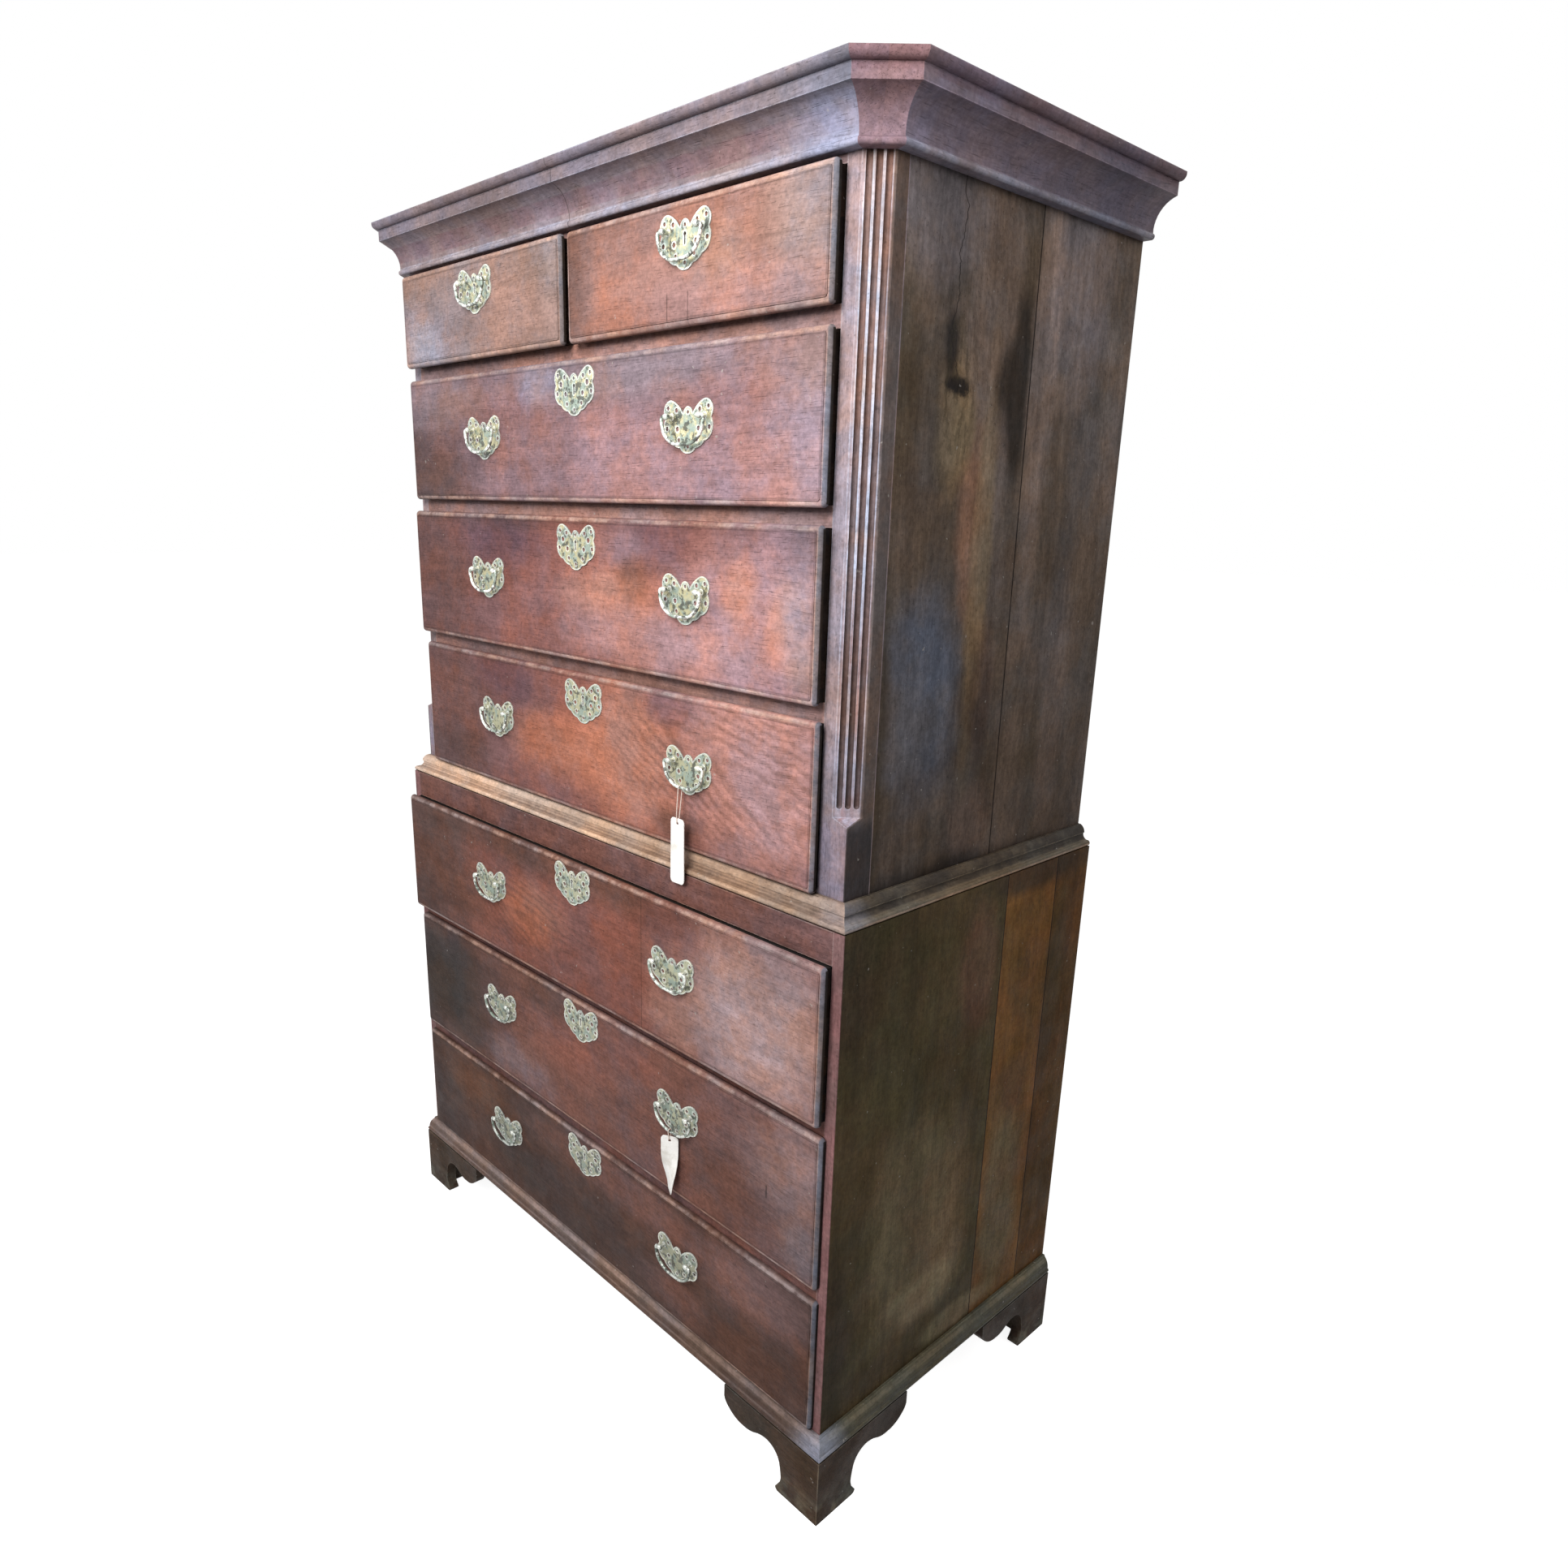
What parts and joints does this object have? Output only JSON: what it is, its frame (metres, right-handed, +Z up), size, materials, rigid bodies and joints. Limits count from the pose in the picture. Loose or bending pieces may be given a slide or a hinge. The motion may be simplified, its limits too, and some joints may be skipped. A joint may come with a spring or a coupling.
{
  "type": "chest on chest",
  "caption": "Tall oak chest on chest with a cove cornice, canted fluted corners, lipped drawers with pierced brass plates and bail handles, and shaped bracket feet.",
  "frame": {"origin": "on the floor, under the middle of the piece's width and depth", "axes": "+X to the right seen from the front, +Y to the back, +Z up"},
  "size_m": [1.204, 0.638, 1.9],
  "materials": {
    "drawer_front_oak": "dark red-brown waxed oak",
    "stile_oak": "worn waxed oak",
    "side_oak": "dark waxed oak",
    "moulding_oak": "worn waxed oak",
    "foot_oak": "dark worn oak",
    "inner_oak": "bare aged oak",
    "brass": "old lacquered brass, tarnished",
    "tag_card": "plain white card",
    "tag_string": "white cotton string"
  },
  "bodies": {
    "carcase": {"base_moulding": "moulding_oak", "bracket_feet": "foot_oak", "corner_post_left": "stile_oak", "corner_post_right": "stile_oak", "cornice_moulding": "moulding_oak", "lower_back_boards": "inner_oak", "lower_carcase_boards": "inner_oak", "lower_drawer_runners": "inner_oak", "lower_front_rails": "stile_oak", "lower_side_left": "side_oak", "lower_side_right": "side_oak", "upper_back_boards": "inner_oak", "upper_carcase_boards": "inner_oak", "upper_drawer_runners": "inner_oak", "upper_front_rails": "stile_oak", "upper_side_left": "side_oak", "upper_side_right": "side_oak", "waist_moulding": "moulding_oak"},
    "short_drawer_left": {"short_drawer_left_front": "drawer_front_oak", "short_drawer_left_box": "inner_oak", "short_drawer_left_brasses": "brass"},
    "short_drawer_left_bail": {"short_drawer_left_bail": "brass"},
    "short_drawer_right": {"short_drawer_right_front": "drawer_front_oak", "short_drawer_right_box": "inner_oak", "short_drawer_right_brasses": "brass"},
    "short_drawer_right_bail": {"short_drawer_right_bail": "brass"},
    "upper_drawer_1": {"upper_drawer_1_front": "drawer_front_oak", "upper_drawer_1_box": "inner_oak", "upper_drawer_1_brasses": "brass"},
    "upper_drawer_1_bail_left": {"upper_drawer_1_bail_left": "brass"},
    "upper_drawer_1_bail_right": {"upper_drawer_1_bail_right": "brass"},
    "upper_drawer_2": {"upper_drawer_2_front": "drawer_front_oak", "upper_drawer_2_box": "inner_oak", "upper_drawer_2_brasses": "brass"},
    "upper_drawer_2_bail_left": {"upper_drawer_2_bail_left": "brass"},
    "upper_drawer_2_bail_right": {"upper_drawer_2_bail_right": "brass"},
    "upper_drawer_3": {"upper_drawer_3_front": "drawer_front_oak", "upper_drawer_3_box": "inner_oak", "upper_drawer_3_brasses": "brass"},
    "upper_drawer_3_bail_left": {"upper_drawer_3_bail_left": "brass"},
    "upper_drawer_3_bail_right": {"upper_drawer_3_bail_right": "brass"},
    "lower_drawer_1": {"lower_drawer_1_front": "drawer_front_oak", "lower_drawer_1_box": "inner_oak", "lower_drawer_1_brasses": "brass"},
    "lower_drawer_1_bail_left": {"lower_drawer_1_bail_left": "brass"},
    "lower_drawer_1_bail_right": {"lower_drawer_1_bail_right": "brass"},
    "lower_drawer_2": {"lower_drawer_2_front": "drawer_front_oak", "lower_drawer_2_box": "inner_oak", "lower_drawer_2_brasses": "brass"},
    "lower_drawer_2_bail_left": {"lower_drawer_2_bail_left": "brass"},
    "lower_drawer_2_bail_right": {"lower_drawer_2_bail_right": "brass"},
    "lower_drawer_3": {"lower_drawer_3_front": "drawer_front_oak", "lower_drawer_3_box": "inner_oak", "lower_drawer_3_brasses": "brass"},
    "lower_drawer_3_bail_left": {"lower_drawer_3_bail_left": "brass"},
    "lower_drawer_3_bail_right": {"lower_drawer_3_bail_right": "brass"},
    "upper_hang_tag": {"upper_hang_tag": "tag_card", "upper_tag_string": "tag_string"},
    "lower_hang_tag": {"lower_hang_tag": "tag_card", "lower_tag_string": "tag_string"}
  },
  "joints": [
    {"name": "short_drawer_left_slide", "type": "slide", "parent": "carcase", "child": "short_drawer_left", "axis": [0, -1, 0], "range_m": [-0.017, 0.383]},
    {"name": "short_drawer_left_bail_hinge", "type": "hinge", "parent": "short_drawer_left", "child": "short_drawer_left_bail", "pos_m": [-0.257, -0.2946, 1.77785], "axis": [-1, 0, 0], "range_deg": [0, 85]},
    {"name": "short_drawer_right_slide", "type": "slide", "parent": "carcase", "child": "short_drawer_right", "axis": [0, -1, 0], "range_m": [-0.014, 0.386]},
    {"name": "short_drawer_right_bail_hinge", "type": "hinge", "parent": "short_drawer_right", "child": "short_drawer_right_bail", "pos_m": [0.253, -0.2916, 1.77785], "axis": [-1, 0, 0], "range_deg": [0, 85]},
    {"name": "upper_drawer_1_slide", "type": "slide", "parent": "carcase", "child": "upper_drawer_1", "axis": [0, -1, 0], "range_m": [-0.013, 0.387]},
    {"name": "upper_drawer_1_bail_left_hinge", "type": "hinge", "parent": "upper_drawer_1", "child": "upper_drawer_1_bail_left", "pos_m": [-0.254, -0.2906, 1.558], "axis": [-1, 0, 0], "range_deg": [0, 85]},
    {"name": "upper_drawer_1_bail_right_hinge", "type": "hinge", "parent": "upper_drawer_1", "child": "upper_drawer_1_bail_right", "pos_m": [0.26, -0.2906, 1.558], "axis": [-1, 0, 0], "range_deg": [0, 85]},
    {"name": "upper_drawer_2_slide", "type": "slide", "parent": "carcase", "child": "upper_drawer_2", "axis": [0, -1, 0], "range_m": [-0.016, 0.384]},
    {"name": "upper_drawer_2_bail_left_hinge", "type": "hinge", "parent": "upper_drawer_2", "child": "upper_drawer_2_bail_left", "pos_m": [-0.254, -0.2936, 1.3355], "axis": [-1, 0, 0], "range_deg": [0, 85]},
    {"name": "upper_drawer_2_bail_right_hinge", "type": "hinge", "parent": "upper_drawer_2", "child": "upper_drawer_2_bail_right", "pos_m": [0.26, -0.2936, 1.3355], "axis": [-1, 0, 0], "range_deg": [0, 85]},
    {"name": "upper_drawer_3_slide", "type": "slide", "parent": "carcase", "child": "upper_drawer_3", "axis": [0, -1, 0], "range_m": [-0.008, 0.392]},
    {"name": "upper_drawer_3_bail_left_hinge", "type": "hinge", "parent": "upper_drawer_3", "child": "upper_drawer_3_bail_left", "pos_m": [-0.254, -0.2856, 1.094], "axis": [-1, 0, 0], "range_deg": [0, 85]},
    {"name": "upper_drawer_3_bail_right_hinge", "type": "hinge", "parent": "upper_drawer_3", "child": "upper_drawer_3_bail_right", "pos_m": [0.26, -0.2856, 1.094], "axis": [-1, 0, 0], "range_deg": [0, 85]},
    {"name": "lower_drawer_1_slide", "type": "slide", "parent": "carcase", "child": "lower_drawer_1", "axis": [0, -1, 0], "range_m": [-0.013, 0.387]},
    {"name": "lower_drawer_1_bail_left_hinge", "type": "hinge", "parent": "lower_drawer_1", "child": "lower_drawer_1_bail_left", "pos_m": [-0.254, -0.3146, 0.79], "axis": [-1, 0, 0], "range_deg": [0, 85]},
    {"name": "lower_drawer_1_bail_right_hinge", "type": "hinge", "parent": "lower_drawer_1", "child": "lower_drawer_1_bail_right", "pos_m": [0.26, -0.3146, 0.79], "axis": [-1, 0, 0], "range_deg": [0, 85]},
    {"name": "lower_drawer_2_slide", "type": "slide", "parent": "carcase", "child": "lower_drawer_2", "axis": [0, -1, 0], "range_m": [-0.002, 0.398]},
    {"name": "lower_drawer_2_bail_left_hinge", "type": "hinge", "parent": "lower_drawer_2", "child": "lower_drawer_2_bail_left", "pos_m": [-0.254, -0.3036, 0.5445], "axis": [-1, 0, 0], "range_deg": [0, 85]},
    {"name": "lower_drawer_2_bail_right_hinge", "type": "hinge", "parent": "lower_drawer_2", "child": "lower_drawer_2_bail_right", "pos_m": [0.26, -0.3036, 0.5445], "axis": [-1, 0, 0], "range_deg": [0, 85]},
    {"name": "lower_drawer_3_slide", "type": "slide", "parent": "carcase", "child": "lower_drawer_3", "axis": [0, -1, 0], "range_m": [0, 0.4]},
    {"name": "lower_drawer_3_bail_left_hinge", "type": "hinge", "parent": "lower_drawer_3", "child": "lower_drawer_3_bail_left", "pos_m": [-0.254, -0.3016, 0.2805], "axis": [-1, 0, 0], "range_deg": [0, 85]},
    {"name": "lower_drawer_3_bail_right_hinge", "type": "hinge", "parent": "lower_drawer_3", "child": "lower_drawer_3_bail_right", "pos_m": [0.26, -0.3016, 0.2805], "axis": [-1, 0, 0], "range_deg": [0, 85]},
    {"name": "upper_hang_tag_swing", "type": "hinge", "parent": "upper_drawer_3_bail_right", "child": "upper_hang_tag", "pos_m": [0.255, -0.2856, 1.059], "axis": [-1, 0, 0], "range_deg": [-85, 0]},
    {"name": "lower_hang_tag_swing", "type": "hinge", "parent": "lower_drawer_2_bail_right", "child": "lower_hang_tag", "pos_m": [0.255, -0.3036, 0.5095], "axis": [-1, 0, 0], "range_deg": [-85, 0]}
  ],
  "couplings": [
    {"joint": "upper_hang_tag_swing", "follows": "upper_drawer_3_bail_right_hinge", "ratio": -1},
    {"joint": "lower_hang_tag_swing", "follows": "lower_drawer_2_bail_right_hinge", "ratio": -1}
  ]
}
